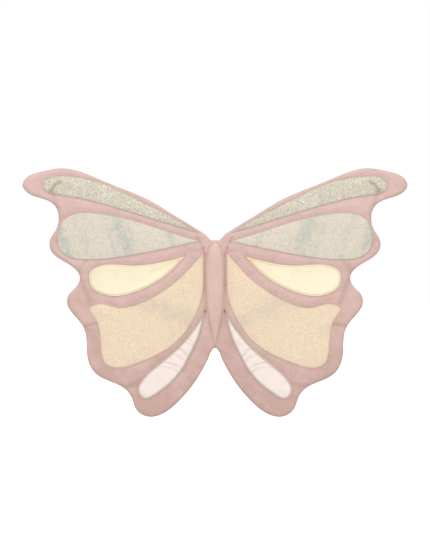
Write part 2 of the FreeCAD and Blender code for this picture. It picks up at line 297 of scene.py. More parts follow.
def threads(name, starts, ends, radius, material, bow=STITCH_BOW):
    """Sewn stitches: one closed capsule from each start to each end, bowed out to the front.

    A place is the middle plus t halves of the stitch, plus a ring of radius r sqrt(1 - 0.9 t^4),
    and its middle stands proud by the bow, which falls with t squared.
    """
    half = (ends - starts) / 2
    middle = (ends + starts) / 2
    ahead = half / np.maximum(np.linalg.norm(half, axis=1, keepdims=True), 1e-9)
    aside = np.cross(ahead, [0.0, 1.0, 0.0])
    aside = aside / np.maximum(np.linalg.norm(aside, axis=1, keepdims=True), 1e-9)
    above = np.cross(aside, ahead)
    turn = np.arange(STITCH_SIDES) * 2 * np.pi / STITCH_SIDES
    t = STITCH_RINGS
    size = radius * np.sqrt(1 - 0.9 * t**4)
    ring = np.cos(turn)[:, None] * aside[:, None, None]
    ring = ring + np.sin(turn)[:, None] * above[:, None, None]
    proud = (bow * radius * (1 - t**2))[:, None]
    line = middle[:, None] + t[:, None] * half[:, None] - above[:, None] * proud
    places = line[:, :, None] + size[:, None, None] * ring
    rows = len(t)
    cell = np.arange(rows * STITCH_SIDES).reshape(rows, STITCH_SIDES)
    nearby = np.roll(cell, -1, axis=1)
    one = np.stack([cell[:-1], nearby[:-1], nearby[1:], cell[1:]], axis=-1).reshape(-1, 4)
    caps = np.array([[0, 1, 2, 3], [3, 4, 5, 0]])
    one = np.concatenate([one, caps[:, ::-1], caps + (rows - 1) * STITCH_SIDES])
    offset = np.arange(len(starts))[:, None, None] * rows * STITCH_SIDES
    places = places.reshape(-1, 3)
    one = outwards(places[: rows * STITCH_SIDES], one)
    return new_piece(name, places, (one[None] + offset).reshape(-1, 4), material)


# ---------------------------------------------------------------- the wing's surface

PANELS = ("silver_glitter", "iridescent_glitter", "gold_foil", "champagne_glitter", "pink_satin")
panel_loops = {name: edge_loop(f"right_{name}_panel") for name in PANELS}
wing_loop = edge_loop("right_wing_front_velvet")

# Half of the centre strip's top and bottom edges, from the middle out to the fold seam, as shares
# of the way across and up from the notch.
NOTCH_TOP = [(0, 0), (0.42, 0.02), (0.62, 0.33), (0.85, 0.72), (1, 1)]
NOTCH_BOTTOM = [(0, 0), (0.12, 0.04), (0.36, 0.2), (0.6, 0.52), (0.9, 0.9), (1, 1)]

# Folds in the padded cloth, each from one place to another, in mm on the right wing, with how deep
# and how wide it is. Negative depths stand out.
CREASES = [
    (252, 158, 243, 116, 1.2, 3.8),
    (246, 156, 236, 128, -0.8, 3.6),
    (211, 32, 195, -14, 1.2, 4.0),
    (212, 36, 196, 58, 1.0, 3.5),
    (226, 40, 204, 24, -0.8, 4.0),
    (203, -50, 184, -46, 1.3, 2.4),
    (206, -58, 190, -62, -0.8, 3.0),
    (147, -146, 112, -138, 1.4, 4.5),
    (134, -163, 112, -150, -0.8, 4.0),
    (252, 86, 236, 74, 0.8, 4.0),
    (27, 88, 19, 72, 1.1, 2.3),
    (19, 72, 15.5, 60, 1.0, 2.3),
    (22, 98, 14, 84, -0.6, 2.6),
    (44, 72, 22, 66, 0.6, 3.2),
    (40, 62, 20, 58, -0.4, 3.2),
    (40, 68, 26, 40, 0.5, 3.0),
]
TIP_DENT = [(257, 160), (253, 165), (248, 171), (241, 175)]
DENT_DEPTH = 1.3 * MM
DENT_WIDTH = 2.6 * MM

EDGE_ROLL = 7.5 * MM
SEAM_DEPTH = 1.5 * MM
# Lengths of the soft waves in the padding, in metres.
LONG_WAVES = (0.052, 0.038, 0.071, 0.045)
SHORT_WAVES = (0.021, 0.026, 0.017)
BACK_WAVES = (0.06, 0.047, 0.08)
FRONT_DEPTH = SEAM_Y - FACE_Y
BACK_DEPTH = BACK_Y - SEAM_Y


def notch_curve(shares, notch_z, seam_z):
    x = np.array([p[0] for p in shares]) * wing_loop[:, 0].min()
    z = notch_z + np.array([p[1] for p in shares]) * (seam_z - notch_z)
    return smooth(np.stack([x, z], axis=-1), 24)


def wing_edges(loop, to_middle):
    """The four edges of a wing, inner, upper, outer and lower, from the body out.

    The upper edge ends at the tip of the wing and the lower edge at its lowest point.
    """
    loop = turned_to(loop, int((loop[:-1] @ [-3.0, 1.0]).argmax()))
    tip = int(loop[:, 0].argmax())
    lowest = int(loop[:, 1].argmin())
    last = int((loop @ [-3.0, -1.0]).argmax())
    upper, outer, lower = loop[: tip + 1], loop[tip : lowest + 1], loop[lowest : last + 1][::-1]
    if to_middle:
        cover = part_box("body_cover")
        upper = np.concatenate([notch_curve(NOTCH_TOP, cover[1].z, upper[0, 1])[:-1], upper])
        lower = np.concatenate([notch_curve(NOTCH_BOTTOM, cover[0].z, lower[0, 1])[:-1], lower])
    inner = np.stack([upper[0], lower[0]])
    return inner, upper, outer, lower


def coons(inner, upper, outer, lower, rows, columns, crowd):
    """A grid over the wing, blended from its four edges (a Coons patch).

    A place is the blend of the upper and lower edges down the grid, plus the blend of the inner and
    outer edges across it, less the blend of the four corners. Columns crowd towards the body.
    """
    v = np.linspace(0, 1, rows)[:, None, None]
    u = np.linspace(0, 1, columns)[None, :, None]
    share = crowd * u[0, :, 0] + (1 - crowd) * u[0, :, 0] ** 2
    top, bottom = spaced(upper, share)[None], spaced(lower, share)[None]
    left, right = spaced(inner, v[:, 0, 0])[:, None], spaced(outer, v[:, 0, 0])[:, None]
    u = share[None, :, None]
    near = (1 - v) * top[:, :1] + v * bottom[:, :1]
    far = (1 - v) * top[:, -1:] + v * bottom[:, -1:]
    corners = (1 - u) * near + u * far
    return (1 - v) * top + v * bottom + (1 - u) * left + u * right - corners


def relaxed(grid, rounds):
    """The grid with each inner place drawn to the mean of its four neighbours, some of the way."""
    grid = grid.copy()
    for _ in range(rounds):
        mean = (grid[:-2, 1:-1] + grid[2:, 1:-1] + grid[1:-1, :-2] + grid[1:-1, 2:]) / 4
        grid[1:-1, 1:-1] += 0.5 * (mean - grid[1:-1, 1:-1])
    return grid


def ripple(points, sizes, seed):
    """Soft waves: a few sines of different directions and lengths, added up to about 1."""
    chance = np.random.default_rng(seed)
    total = np.zeros(len(points))
    for size in sizes:
        turn, shift = chance.uniform(0, 2 * np.pi, 2)
        way = np.array([np.cos(turn), np.sin(turn)]) * 2 * np.pi / size
        total += np.sin(points @ way + shift)
    return total / len(sizes)


def fold_lines(points):
    """Depth of the creases: each a bell across its line that fades towards both of its ends."""
    total = np.zeros(len(points))
    for x0, z0, x1, z1, depth, wide in CREASES:
        line = np.array([(x0, z0), ((x0 + x1) / 2, (z0 + z1) / 2), (x1, z1)]) * MM
        total += depth * MM * bell(distance(points, line), wide * MM)
    dent = distance(points, smooth(np.array(TIP_DENT) * MM, 12))
    total += DENT_DEPTH * bell(dent, DENT_WIDTH)
    return total


def rolled(points):
    """Share of the full depth at each place, rounded over along the silhouette."""
    return round_over(distance(points, silhouette), EDGE_ROLL)


def from_panels(points):
    """Distance from each point to the nearest edge of a panel."""
    return np.min([distance(points, loop) for loop in panel_loops.values()], axis=0)


def quilting(points):
    """How far the padding stands up: low along the sewn edges of the panels, full between them."""
    nearest = from_panels(points)
    return (1.4 * (1 - bell(nearest, 9 * MM)) - 0.5 * bell(nearest, 2.0 * MM)) * MM


def front_height(points):
    """How far the velvet stands in front of the seam plane at each place."""
    x, z = points.T
    seam = bell(x - FOLD_X, 2.0 * MM) * rise(z, -52 * MM, 18 * MM) * rise(-z, -70 * MM, 10 * MM)
    near_fold = bell(x, 22 * MM)
    waves = 0.45 * ripple(points, LONG_WAVES, 3) + 0.2 * ripple(points, SHORT_WAVES, 8)
    height = FRONT_DEPTH - 0.3 * MM + quilting(points) * (1 - 0.6 * near_fold)
    height += waves * MM * (1 - near_fold)
    height -= SEAM_DEPTH * seam + fold_lines(points)
    return height * rolled(points)


def back_height(points):
    """How far the lining stands behind the seam plane: never past the plane of the back."""
    valley = bell(from_panels(points), 2.4 * MM) * rise(points[:, 0], 20 * MM, 10 * MM)
    waves = 0.35 * (ripple(points, BACK_WAVES, 21) - 1)
    flat = rise(points[:, 0], 0, 30 * MM)
    return (BACK_DEPTH - (0.8 * valley - waves * flat) * MM) * rolled(points)


def on_front(points, lift):
    """Places in space on the velvet's face, lifted off it by a height."""
    height = front_height(points) + lift
    return np.stack([points[:, 0], SEAM_Y - height, points[:, 1]], axis=-1)


def mirrored(places, side):
    return places * [side, 1.0, 1.0]


inner, upper, outer, lower = wing_edges(wing_loop, True)
silhouette = np.concatenate([upper, outer[1:], lower[::-1][1:]])

# ---------------------------------------------------------------- materials


# Places of a Mix node's two colours among its inputs, and of the mixed colour among its outputs.
MIX_FIRST, MIX_SECOND, MIX_RESULT = 6, 7, 2


class Value:
    """A node's output that Python's operators work on."""

    def __init__(self, paint, socket):
        self.paint, self.socket = paint, socket

    def maths(self, operation, *values):
        return self.paint.node("ShaderNodeMath", {"operation": operation}, values)

    def __add__(self, other):
        return self.maths("ADD", self, other)

    def __sub__(self, other):
        return self.maths("SUBTRACT", self, other)

    def __rsub__(self, other):
        return self.maths("SUBTRACT", other, self)

    def __mul__(self, other):
        return self.maths("MULTIPLY", self, other)

    def __truediv__(self, other):
        return self.maths("DIVIDE", self, other)

    def __pow__(self, other):
        return self.maths("POWER", self, other)

    def __abs__(self):
        return self.maths("ABSOLUTE", self)

    def __neg__(self):
        return self.maths("MULTIPLY", self, -1.0)

    __radd__ = __add__
    __rmul__ = __mul__

    def bell(self, centre, width):
        """1 at the centre, falling off on both sides."""
        away = (self - centre) / width
        return self.maths("EXPONENT", -(away * away))

    def wave(self):
        return self.maths("SINE", self)


class Paint:
    """One material and its nodes."""

    def __init__(self, name):
        self.material = bpy.data.materials.new(name)
        self.material.use_nodes = True
        self.tree = self.material.node_tree
        self.tree.nodes.clear()
        self.place = self.node("ShaderNodeTexCoord", output="Object")

    def node(self, kind, settings=None, values=(), output=0):
        """One output of a new node, after its settings and its inputs' values or links."""
        made = self.tree.nodes.new(kind)
        for name, setting in (settings or {}).items():
            if name == "stops":
                self.set_stops(made.color_ramp, setting)
            else:
                setattr(made, name, setting)
        named = values.items() if isinstance(values, dict) else enumerate(values)
        for key, value in named:
            if isinstance(value, Value):
                self.tree.links.new(value.socket, made.inputs[key])
            else:
                made.inputs[key].default_value = value
        return Value(self, made.outputs[output])

    @staticmethod
    def set_stops(ramp, stops):
        while len(ramp.elements) < len(stops):
            ramp.elements.new(0.5)
        for element, (position, colour) in zip(ramp.elements, stops):
            element.position = position
            element.color = (*colour, 1.0)

    def noise(self, scale, detail=2.0, roughness=0.5, where=None):
        values = {"Vector": where or self.place, "Scale": scale}
        values.update({"Detail": detail, "Roughness": roughness})
        return self.node("ShaderNodeTexNoise", None, values, "Fac")

    def cells(self, scale, output="Color", feature="F1"):
        values = {"Vector": self.place, "Scale": scale}
        return self.node("ShaderNodeTexVoronoi", {"feature": feature}, values, output)

    def squeezed(self, share):
        """The place with its height taken at a share, which draws a pattern out upwards."""
        values = {"Vector": self.place, "Scale": (1.0, 1.0, share)}
        return self.node("ShaderNodeMapping", None, values)

    def uv(self, axis):
        return self.part(self.node("ShaderNodeTexCoord", output="UV"), axis)

    def mark(self, name):
        """A value stored with each place of the mesh."""
        return self.node("ShaderNodeAttribute", {"attribute_name": name}, (), "Fac")

    def part(self, vector, axis):
        return self.node("ShaderNodeSeparateXYZ", None, [vector], axis)

    def ramp(self, value, *stops):
        return self.node("ShaderNodeValToRGB", {"stops": stops}, [value])

    def mix(self, share, first, second):
        """The first colour, with a share of the second put over it."""
        first, second = (c if isinstance(c, Value) else (*c, 1.0) for c in (first, second))
        values = {0: share, MIX_FIRST: first, MIX_SECOND: second}
        return self.node("ShaderNodeMix", {"data_type": "RGBA"}, values, MIX_RESULT)

    def bump(self, height, size, under=None):
        """The normal of a height in metres."""
        values = {"Strength": 1.0, "Distance": size, "Height": height}
        if under is not None:
            values["Normal"] = under
        return self.node("ShaderNodeBump", None, values)

    def vector(self, operation, *values):
        return self.node("ShaderNodeVectorMath", {"operation": operation}, values)

    def tilted(self, chance, amount):
        """The surface's normal, tipped by a random colour's distance from mid grey."""
        normal = self.node("ShaderNodeNewGeometry", output="Normal")
        off = self.vector("SUBTRACT", chance, (0.5, 0.5, 0.5))
        off = self.vector("MULTIPLY", off, (amount, amount, amount))
        return self.vector("NORMALIZE", self.vector("ADD", normal, off))

    def finish(self, **sockets):
        """Puts the values on a Principled shader and gives the material."""
        values = {name.replace("_", " "): value for name, value in sockets.items()}
        for name, value in values.items():
            if isinstance(value, tuple) and len(value) == 3:
                values[name] = (*value, 1.0)
        surface = self.node("ShaderNodeBsdfPrincipled", None, values)
        out = self.tree.nodes.new("ShaderNodeOutputMaterial")
        self.tree.links.new(surface.socket, out.inputs["Surface"])
        return self.material


def tone(red, green, blue):
    """A colour given as display values from 0 to 255, in the shader's linear scale."""
    shares = np.array([red, green, blue]) / 255.0
    linear = np.where(shares <= 0.04045, shares / 12.92, ((shares + 0.055) / 1.055) ** 2.4)
    return tuple(float(value) for value in linear)


def lined(paint, colour, line_and_shadow_tone, *lines):
    """Lines along a panel's edge, each (inset, width, strength): the panel's own dark edge and
    thread line, made stronger on its lower side by painted shadow.
    """
    edge = paint.mark("edge")
    lower = paint.uv("X")
    for inset, width, strength in lines:
        # painted shadow: each line darkens more towards the panel's lower side, under its raised
        # edge
        colour = paint.mix(edge.bell(inset, width) * (lower * 0.5 + 0.5) * strength, colour, line_and_shadow_tone)
    return colour


def velvet(name, lighter, middle, darker):
    """Short pile: lighter high on the wings and browner low down, brushed in soft patches.

    It is greyer with painted shade along its rolled edge, in its folds and close beside the panels.
    """
    paint = Paint(name)
    height = paint.part(paint.place, "Z")
    brushed = paint.noise(26.0, 3.0, 0.6)
    patches = paint.noise(85.0, 3.0, 0.6)
    level = height * 2.1 + 0.5 + (brushed - 0.5) * 1.5 + (patches - 0.5) * 0.8
    colour = paint.ramp(level, (0.05, darker), (0.5, middle), (0.95, lighter))
    rubbed = paint.noise(48.0, 4.0, 0.65)
    colour = paint.mix((rubbed - 0.5) * 1.3, colour, darker)
    pile = paint.noise(1500.0, 2.0, 0.7)
    colour = paint.mix((pile - 0.5) * 0.5 + 0.1, colour, darker)
    # painted shade: greyer on the rolled rim, in a shadow line beside the panels and in the folds
    shade = paint.mark("edge").bell(0.0, 1.6) * 0.4 + paint.mark("beside").bell(0.0, 1.8) * 0.25
    colour = paint.mix(shade + paint.mark("crease") * 0.3, colour, tone(186, 152, 142))
    nap = paint.bump(patches, 1.2 * MM, paint.bump(brushed, 2.5 * MM))
    normal = paint.bump(pile, 0.4 * MM, nap)
    return paint.finish(
        Base_Color=colour, Roughness=0.92, Normal=normal, Specular_IOR_Level=0.18,
        Sheen_Weight=0.22, Sheen_Roughness=0.5, Sheen_Tint=lighter,
    )  # fmt: skip


def glitter(name, grain, stops, metal, tilt, shading, line_and_shadow_tone):
    """Flakes stuck on cloth: cells of one grain, each with its own tone, shine and tilt."""
    paint = Paint(name)
    flakes = paint.cells(1.0 / grain)
    tint = paint.node("ShaderNodeSeparateColor", None, [flakes], "Red")
    gloss = paint.node("ShaderNodeSeparateColor", None, [flakes], "Green")
    colour = shading(paint, paint.ramp(tint, *stops))
    # dark cut edge and stitch line, with painted shadow stronger on the panel's lower side
    colour = lined(paint, colour, line_and_shadow_tone, (0.0, 0.7, 0.75), (1.2, 0.4, 0.3))
    border = paint.cells(1.0 / grain, "Distance", "DISTANCE_TO_EDGE")
    normal = paint.bump(border, 0.2 * MM, paint.tilted(flakes, tilt))
    return paint.finish(
        Base_Color=colour, Roughness=gloss * 0.4 + 0.3,
        Metallic=(gloss**3.0) * metal, Normal=normal,
    )  # fmt: skip


def silver_glitter():
    """Coarse silver flakes over beige cloth, duller towards the body, with painted brown shade in
    its dent and folds.
    """

    def shading(paint, colour):
        patches = paint.noise(45.0, 3.0, 0.6)
        colour = paint.mix((patches - 0.38) * 1.3, colour, tone(198, 189, 168))
        specks = paint.noise(330.0, 2.0, 0.6)
        colour = paint.mix((specks - 0.52) * 2.4, colour, tone(176, 168, 144))
        inner = abs(paint.part(paint.place, "X")) * -9.0 + 1.1
        colour = paint.mix(inner * 0.4, colour, tone(180, 170, 148))
        # painted shade: brown in the tip's dent and in the folds
        return paint.mix(paint.mark("crease") * 0.5, colour, tone(158, 140, 122))

    stops = (
        (0.0, tone(172, 163, 142)), (0.2, tone(204, 194, 172)), (0.5, tone(218, 208, 189)),
        (0.78, tone(224, 216, 198)), (0.9, tone(242, 237, 226)), (1.0, tone(255, 255, 250)),
    )  # fmt: skip
    return glitter("silver_glitter", 1.0 * MM, stops, 0.2, 0.25, shading, tone(150, 140, 116))


# Bands of the iridescent panel, in mm out from the middle: place, width and strength.
BLUE_BANDS = [(141, 13, 1.0), (163, 6, 0.4), (238, 9, 1.0), (69, 5, 0.8), (207, 6, 0.45)]


def iridescent_glitter():
    """Fine flakes of peach, beige and pale green, blue-green in upright, wavering bands."""

    def shading(paint, colour):
        out, height = abs(paint.part(paint.place, "X")), paint.part(paint.place, "Z")
        drift = (paint.noise(42.0, 3.0, 0.7) - 0.5) * (24 * MM)
        out = out + drift + (height - 90 * MM) * -0.35
        bands = sum(out.bell(at * MM, width * MM) * strength for at, width, strength in BLUE_BANDS)
        streaks = paint.noise(340.0, 2.0, 0.7, paint.squeezed(0.35))
        mottled = paint.noise(130.0, 3.0, 0.65)
        blue = bands * (streaks * 1.5 + 0.2) * (mottled * 1.7) + (mottled - 0.52) * 1.4
        colour = paint.mix(blue, colour, tone(189, 192, 181))
        peach = paint.noise(64.0, 3.0, 0.6) - 0.52
        return paint.mix(peach * 2.4, colour, tone(240, 218, 188))

    stops = (
        (0.0, tone(202, 206, 196)), (0.2, tone(206, 194, 175)), (0.4, tone(224, 212, 195)),
        (0.6, tone(236, 214, 191)), (0.8, tone(214, 216, 202)), (1.0, tone(238, 230, 215)),
    )  # fmt: skip
    return glitter("iridescent_glitter", 0.9 * MM, stops, 0.2, 0.3, shading, tone(150, 146, 132))


SHADE_BAND_LEVEL = 57.76 * MM


def champagne_glitter():
    """Fine champagne flakes in soft grey mottling, with a band of painted shade slanting across the
    middle.
    """

    def shading(paint, colour):
        out, height = abs(paint.part(paint.place, "X")), paint.part(paint.place, "Z")
        # painted shade: a grey band slanting across the middle, broken up by noise, with random
        # grey mottling added over the whole panel
        slant = height - out * 0.42 + SHADE_BAND_LEVEL
        shade_band_and_mottle = slant.bell(0.0, 17 * MM) * paint.noise(70.0, 3.0, 0.7) * 1.5
        shade_band_and_mottle = shade_band_and_mottle + (paint.noise(48.0, 3.0, 0.6) - 0.53) * 1.5
        colour = paint.mix(shade_band_and_mottle, colour, tone(217, 198, 178))
        fine = paint.noise(520.0, 2.0, 0.7)
        colour = paint.mix((fine - 0.5) * 3.0, colour, tone(252, 228, 184))
        specks = paint.noise(430.0, 2.0, 0.7)
        return paint.mix((specks - 0.56) * 3.0, colour, tone(208, 188, 170))

    stops = (
        (0.0, tone(218, 199, 174)), (0.25, tone(234, 211, 185)), (0.45, tone(244, 221, 191)),
        (0.65, tone(224, 208, 186)), (0.8, tone(247, 219, 184)), (1.0, tone(253, 235, 208)),
    )  # fmt: skip
    return glitter("champagne_glitter", 0.9 * MM, stops, 0.15, 0.25, shading, tone(196, 170, 140))


def gold_foil():
    """Pale gold foil on cloth, softly crinkled, more so and browner towards its point."""
    paint = Paint("gold_foil")
    crumple = paint.noise(95.0, 3.0, 0.6)
    fine = paint.noise(500.0, 2.0, 0.6)
    out = abs(paint.part(paint.place, "X"))
    colour = paint.mix((crumple - 0.5) * 1.8, tone(242, 231, 200), tone(234, 217, 180))
    pointed = (out * -1.0 + 92 * MM) / (40 * MM)
    colour = paint.mix(pointed * (fine - 0.22) * 1.3, colour, tone(222, 196, 152))
    # tan outline and stitch line, with painted shadow stronger on the lower side
    colour = lined(paint, colour, tone(176, 146, 104), (0.0, 0.5, 0.75), (2.6, 0.45, 0.6))
    normal = paint.bump(fine, 0.12 * MM, paint.bump(crumple, 0.9 * MM))
    return paint.finish(
        Base_Color=colour, Metallic=0.2, Roughness=fine * 0.14 + 0.34,
        Normal=normal, Coat_Weight=0.1,
    )  # fmt: skip


def pink_satin():
    """Pearly satin: smooth floats of thread along the cloth, with an overlocked border, painted
    shade in its wrinkle hollows and painted shadow under its lower edge.
    """
    paint = Paint("pink_satin")
    soft = paint.noise(40.0, 2.0, 0.5)
    floats = paint.noise(3200.0, 1.0, 0.5, paint.squeezed(0.12))
    colour = paint.mix(soft * 0.8, tone(251, 236, 228), tone(240, 223, 214))
    # painted shade in the hollows below the satin's wrinkles
    colour = paint.mix(paint.mark("crease") * 0.55, colour, tone(216, 192, 184))
    # grey overlocked border and stitch line, with painted shadow stronger on the lower side
    colour = lined(paint, colour, tone(184, 168, 152), (0.2, 0.55, 0.6), (2.7, 0.4, 0.6))
    normal = paint.bump(floats, 0.06 * MM)
    return paint.finish(
        Base_Color=colour, Roughness=0.4, Normal=normal, Sheen_Weight=0.15, Sheen_Roughness=0.3,
        Sheen_Tint=tone(255, 246, 240),
    )  # fmt: skip


def woven(name, colour, shade, pitch, slant=0.0, rough=0.85):
    """Plain or twilled cloth: two sets of crossing threads, each a sine of its own direction."""
    paint = Paint(name)
    x, z = paint.part(paint.place, "X"), paint.part(paint.place, "Z")
    turn = 2 * math.pi / pitch
    across = ((x + z * slant) * turn).wave()
    down = ((z - x * slant) * turn).wave()
    over = across * down * 0.5 + 0.5
    slub = paint.noise(700.0, 2.0, 0.6)
    worn = paint.noise(24.0, 3.0, 0.5)
    tinted = paint.mix(over * 0.35 + (worn - 0.5) * 0.6, colour, shade)
    normal = paint.bump(over * 0.8 + slub * 0.4, 0.12 * MM)
    return paint.finish(Base_Color=tinted, Roughness=rough, Normal=normal, Sheen_Weight=0.15)


RIBS = 18
PICKS = 330


def ribbed_elastic():
    """Woven elastic: ribs along its length and fine picks across them, from its own UV map."""
    paint = Paint("ribbed_elastic")
    across = (paint.uv("X") * (2 * math.pi * RIBS)).wave()
    picks = (paint.uv("Y") * (2 * math.pi * PICKS)).wave()
    colour = paint.mix(across * 0.25 + 0.25, tone(240, 224, 216), tone(216, 192, 184))
    normal = paint.bump(across * 0.7 + picks * 0.4, 0.14 * MM)
    return paint.finish(Base_Color=colour, Roughness=0.7, Normal=normal, Sheen_Weight=0.1)


def thread(name, colour, shade):
    """Twisted sewing thread."""
    paint = Paint(name)
    twist = paint.noise(2400.0, 1.0, 0.5)
    tinted = paint.mix(twist * 0.7, colour, shade)
    return paint.finish(Base_Color=tinted, Roughness=0.55, Normal=paint.bump(twist, 0.08 * MM))


def fibre():
    """Loose white wadding."""
    paint = Paint("fibre")
    tufts = paint.noise(420.0, 4.0, 0.7)
    colour = paint.mix(tufts, tone(250, 249, 245), tone(226, 224, 218))
    return paint.finish(Base_Color=colour, Roughness=0.95, Normal=paint.bump(tufts, 0.6 * MM))


def flat_wire():
    """Drawn steel wire."""
    paint = Paint("flat_wire")
    drawn = paint.noise(1500.0, 2.0, 0.6)
    colour = paint.mix(drawn, tone(196, 196, 198), tone(150, 150, 154))
    return paint.finish(Base_Color=colour, Metallic=1.0, Roughness=drawn * 0.2 + 0.25)


VELVET = velvet("velvet", tone(228, 196, 188), tone(222, 189, 180), tone(208, 173, 163))
BODY_VELVET = velvet("body_velvet", tone(232, 200, 190), tone(228, 195, 185), tone(222, 188, 178))
LINING = woven("lining", tone(226, 200, 192), tone(206, 178, 170), 0.9 * MM)
TAPE = woven("herringbone_tape", tone(233, 214, 206), tone(208, 186, 177), 1.6 * MM, 0.7)
ELASTIC = ribbed_elastic()
WADDING = fibre()
WIRE = flat_wire()
PANEL_CLOTH = {
    "silver_glitter": silver_glitter(),
    "iridescent_glitter": iridescent_glitter(),
    "gold_foil": gold_foil(),
    "champagne_glitter": champagne_glitter(),
    "pink_satin": pink_satin(),
}
PALE_THREAD = thread("pale_thread", tone(206, 184, 144), tone(170, 144, 104))
GREY_THREAD = thread("grey_thread", tone(206, 192, 176), tone(176, 160, 144))
PINK_THREAD = thread("pink_thread", tone(190, 150, 141), tone(160, 122, 114))
DARK_THREAD = thread("dark_thread", tone(150, 112, 102), tone(118, 86, 78))
LIGHT_THREAD = thread("light_thread", tone(240, 218, 210), tone(206, 180, 172))

# ---------------------------------------------------------------- the two wings

VELVET_THICKNESS = 0.9 * MM
LINING_THICKNESS = 0.5 * MM
FOLD_START = FOLD_X - 3.5 * MM
FOLD_END = FOLD_X + 3.5 * MM


def fold(piece, side):
    """Bakes the piece's transform into its mesh; the piece is not bent at the fold seam."""
    start = (side * FOLD_START, FACE_Y, 0)
    side * FOLD_END
    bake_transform(piece)


def lifted(grid, heights):
    """A grid of (x, z) with its y set off from the seam plane towards the front."""
    y = SEAM_Y - heights.reshape(grid.shape[:2])
    return np.stack([grid[..., 0], y, grid[..., 1]], axis=-1)


def flat_area(grid):
    """Area of a grid of (x, z)."""
    one, two = grid[1:, 1:] - grid[:-1, :-1], grid[1:, :-1] - grid[:-1, 1:]
    return float(0.5 * np.abs(one[..., 0] * two[..., 1] - one[..., 1] * two[..., 0]).sum())


def cut_size(grid, ahead=(0.0, 1.0)):
    """Width and length of the smallest rectangle along a direction that the cloth is cut from."""
    ahead = np.asarray(ahead) / np.hypot(*ahead)
    turned = grid.reshape(-1, 2) @ np.array([[ahead[1], ahead[0]], [-ahead[0], ahead[1]]])
    return tuple(float(value) for value in np.ptp(turned, axis=0))


# Each grid's rows, columns, how evenly its columns are spread, and its rounds of smoothing.
FRONT_GRID, FRONT_ROUNDS = (245, 200, 0.35), 260
BACK_GRID, BACK_ROUNDS = (150, 120, 0.35), 160
WADDING_GRID, WADDING_ROUNDS = (130, 110, 0.6), 160
WADDING_ROLL = 5 * MM
WADDING_GAP = 0.35 * MM

wing_grid = relaxed(coons(inner, upper, outer, lower, *FRONT_GRID), FRONT_ROUNDS)
coarse_grid = relaxed(coons(inner, upper, outer, lower, *BACK_GRID), BACK_ROUNDS)
wing_points, coarse_points = wing_grid.reshape(-1, 2), coarse_grid.reshape(-1, 2)
wing_front = front_height(wing_points)
# Masks for the velvet's painted shade: distance from the rim, distance from the panels and depth of
# the folds.
wing_marks = {
    "edge": distance(wing_points, silhouette) / MM,
    "beside": from_panels(wing_points) / MM,
    "crease": np.clip(fold_lines(wing_points) / MM, 0, 2),
}
coarse_back = back_height(coarse_points)

wadding_loop = edge_loop("right_wing_wadding")
wadding_edges = wing_edges(wadding_loop, False)
wadding_grid = relaxed(coons(*wadding_edges, *WADDING_GRID), WADDING_ROUNDS)
wadding_points = wadding_grid.reshape(-1, 2)
wadding_roll = round_over(distance(wadding_points, wadding_loop), WADDING_ROLL)
wadding_front = front_height(wadding_points) - VELVET_THICKNESS - WADDING_GAP
wadding_front = np.maximum(wadding_front, 0.3 * MM)
wadding_back = back_height(wadding_points) - LINING_THICKNESS - WADDING_GAP
wadding_back = np.maximum(wadding_back, 0.2 * MM)


def wing_velvet(label, side):
    """The velvet face: padded in front, its back one cloth thickness behind, meeting at the rim."""
    under = np.clip(wing_front - VELVET_THICKNESS, 0, None)
    front = mirrored(lifted(wing_grid, wing_front + 0.06 * MM), side)
    back = mirrored(lifted(wing_grid, np.minimum(under, wing_front)), side)
    piece = shell(f"{label}_wing_velvet", front, back, VELVET, wing_marks)
    fold(piece, side)
    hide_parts(f"{label}_wing_front_velvet", "centre_front_velvet")
    cut_size(wing_grid)
    flat_area(wing_grid)


def wing_lining(label, side):
    """The back cloth: it meets the velvet at the rim and lies in the plane of the back."""
    outside = mirrored(lifted(coarse_grid, -coarse_back - 0.04 * MM), side)
    inside = mirrored(lifted(coarse_grid, -np.clip(coarse_back - LINING_THICKNESS, 0, None)), side)
    piece = shell(f"{label}_wing_lining", outside, inside, LINING)
    fold(piece, side)
    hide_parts(f"{label}_wing_back_lining", "centre_back_lining")
    cut_size(coarse_grid)
    flat_area(coarse_grid)


def wing_wadding(label, side):
    """The wadding between the two cloths, rounded off at its edge."""
    front = mirrored(lifted(wadding_grid, wadding_front * wadding_roll + 0.05 * MM), side)
    back = mirrored(lifted(wadding_grid, -wadding_back * wadding_roll - 0.05 * MM), side)
    piece = shell(f"{label}_wing_filling", front, back, WADDING)
    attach(piece, f"{label}_wing")
    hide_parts(f"{label}_wing_wadding")


# ---------------------------------------------------------------- the panels

PANEL_LIFT = 0.5 * MM
# Edge of each kind of panel to its row of stitches.
FOIL_INSET, SATIN_INSET, GLITTER_INSET = 2.3 * MM, 2.5 * MM, 1.2 * MM


def crosswise(count):
    """Shares from 0 to 1 that crowd at both ends."""
    return 0.5 - 0.5 * np.cos(np.pi * np.linspace(0, 1, count))


def panel_grid(loop, length, width):
    """A ruled grid over a leaf-shaped panel: a row joins its two edges at one share of both."""
    first, second = sides_of(loop)
    share = 0.003 + 0.994 * (0.35 * np.linspace(0, 1, length) + 0.65 * crosswise(length))
    a, b = spaced(first, share)[:, None], spaced(second, share)[:, None]
    if a[..., 1].mean() < b[..., 1].mean():
        a, b = b, a
    w = (0.3 * np.linspace(0, 1, width) + 0.7 * crosswise(width))[None, :, None]
    return (1 - w) * a + w * b


# Wrinkles down the satin: how far below its upper point in mm, how high in mm, and their slant.
WRINKLES = [
    (19, 0.25, 0.0), (33, 0.42, 0.1), (43, 0.25, -0.25), (51, 0.55, 0.05), (64, 0.35, -0.15),
    (67, 0.2, 0.3), (79, 0.55, -0.25), (87, 0.3, -0.35),
]  # fmt: skip


